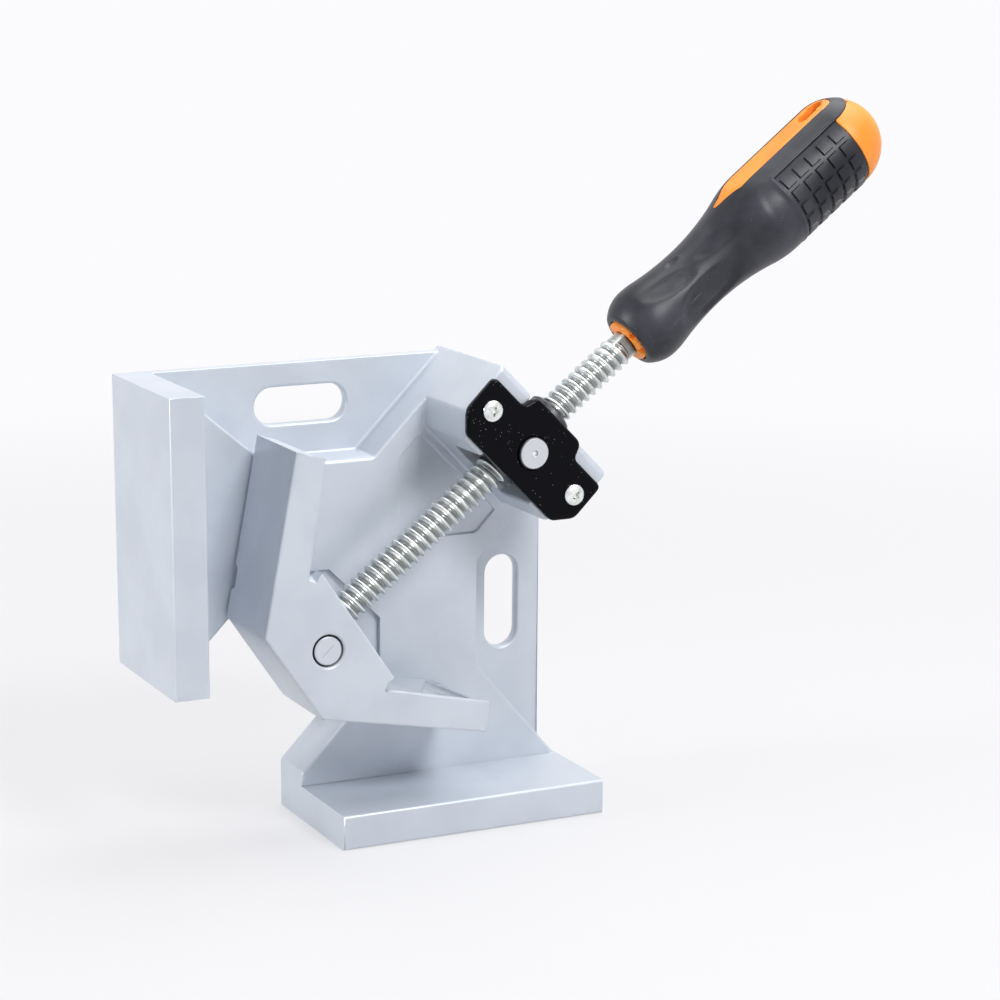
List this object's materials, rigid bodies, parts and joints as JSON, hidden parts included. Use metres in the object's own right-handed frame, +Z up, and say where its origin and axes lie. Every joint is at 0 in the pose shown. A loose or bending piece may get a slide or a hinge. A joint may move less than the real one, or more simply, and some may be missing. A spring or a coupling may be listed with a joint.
{
  "type": "corner clamp",
  "caption": "Right-angle corner clamp: cast body with two fixed jaws and slotted flange, swivelling screw with a grip handle, and a pivoting two-armed jaw.",
  "frame": {"origin": "centre of the outer face of the lower fixed jaw, the face that the clamp stands on", "axes": "+Z up, away from that face; +X along the lower fixed jaw, away from the open corner; +Y towards the flat back of the body"},
  "size_m": [0.2573, 0.0555, 0.2323],
  "materials": {
    "cast_body": "painted silver-grey casting, satin",
    "cast_jaw": "painted silver-grey casting, satin",
    "black_cover": "gloss black enamel",
    "screws": "bright zinc plate",
    "nut_steel": "plated steel, dull",
    "zinc_spindle": "bright zinc plate",
    "zinc_sheet": "zinc-plated sheet",
    "pin_steel": "plated steel, faintly scratched",
    "orange_core": "moulded plastic, satin",
    "rubber_grip": "moulded soft rubber, matt"
  },
  "bodies": {
    "body": {"frame_body": "cast_body", "cover_plate": "black_cover", "cover_screw_upper": "screws", "cover_screw_lower": "screws"},
    "nut": {"swivel_nut": "nut_steel"},
    "bracket": {"spindle_bracket": "zinc_sheet", "jaw_pin": "pin_steel"},
    "screw": {"spindle": "zinc_spindle", "spindle_keeper": "zinc_spindle", "handle_core": "orange_core", "handle_sleeve": "rubber_grip"},
    "jaw": {"swing_jaw": "cast_jaw"}
  },
  "joints": [
    {"name": "nut_swivel", "type": "hinge", "parent": "body", "child": "nut", "pos_m": [0.02042, -0.0125, 0.12442], "axis": [0, 1, 0], "range_deg": [-18.9, 5.1]},
    {"name": "screw_feed", "type": "slide", "parent": "nut", "child": "bracket", "axis": [-0.7869, 0, -0.617], "range_m": [-0.056, 0.0105]},
    {"name": "spindle_turn", "type": "hinge", "parent": "bracket", "child": "screw", "pos_m": [-0.05244, -0.0125, 0.06729], "axis": [-0.7869, 0, -0.617], "range_deg": [-6720, 1260]},
    {"name": "jaw_pivot", "type": "hinge", "parent": "bracket", "child": "jaw", "pos_m": [-0.05244, -0.0125, 0.06729], "axis": [0, 1, 0], "range_deg": [-19, 11]}
  ],
  "couplings": [
    {"joint": "spindle_turn", "follows": "screw_feed", "rad_per_m": 2094.4}
  ]
}
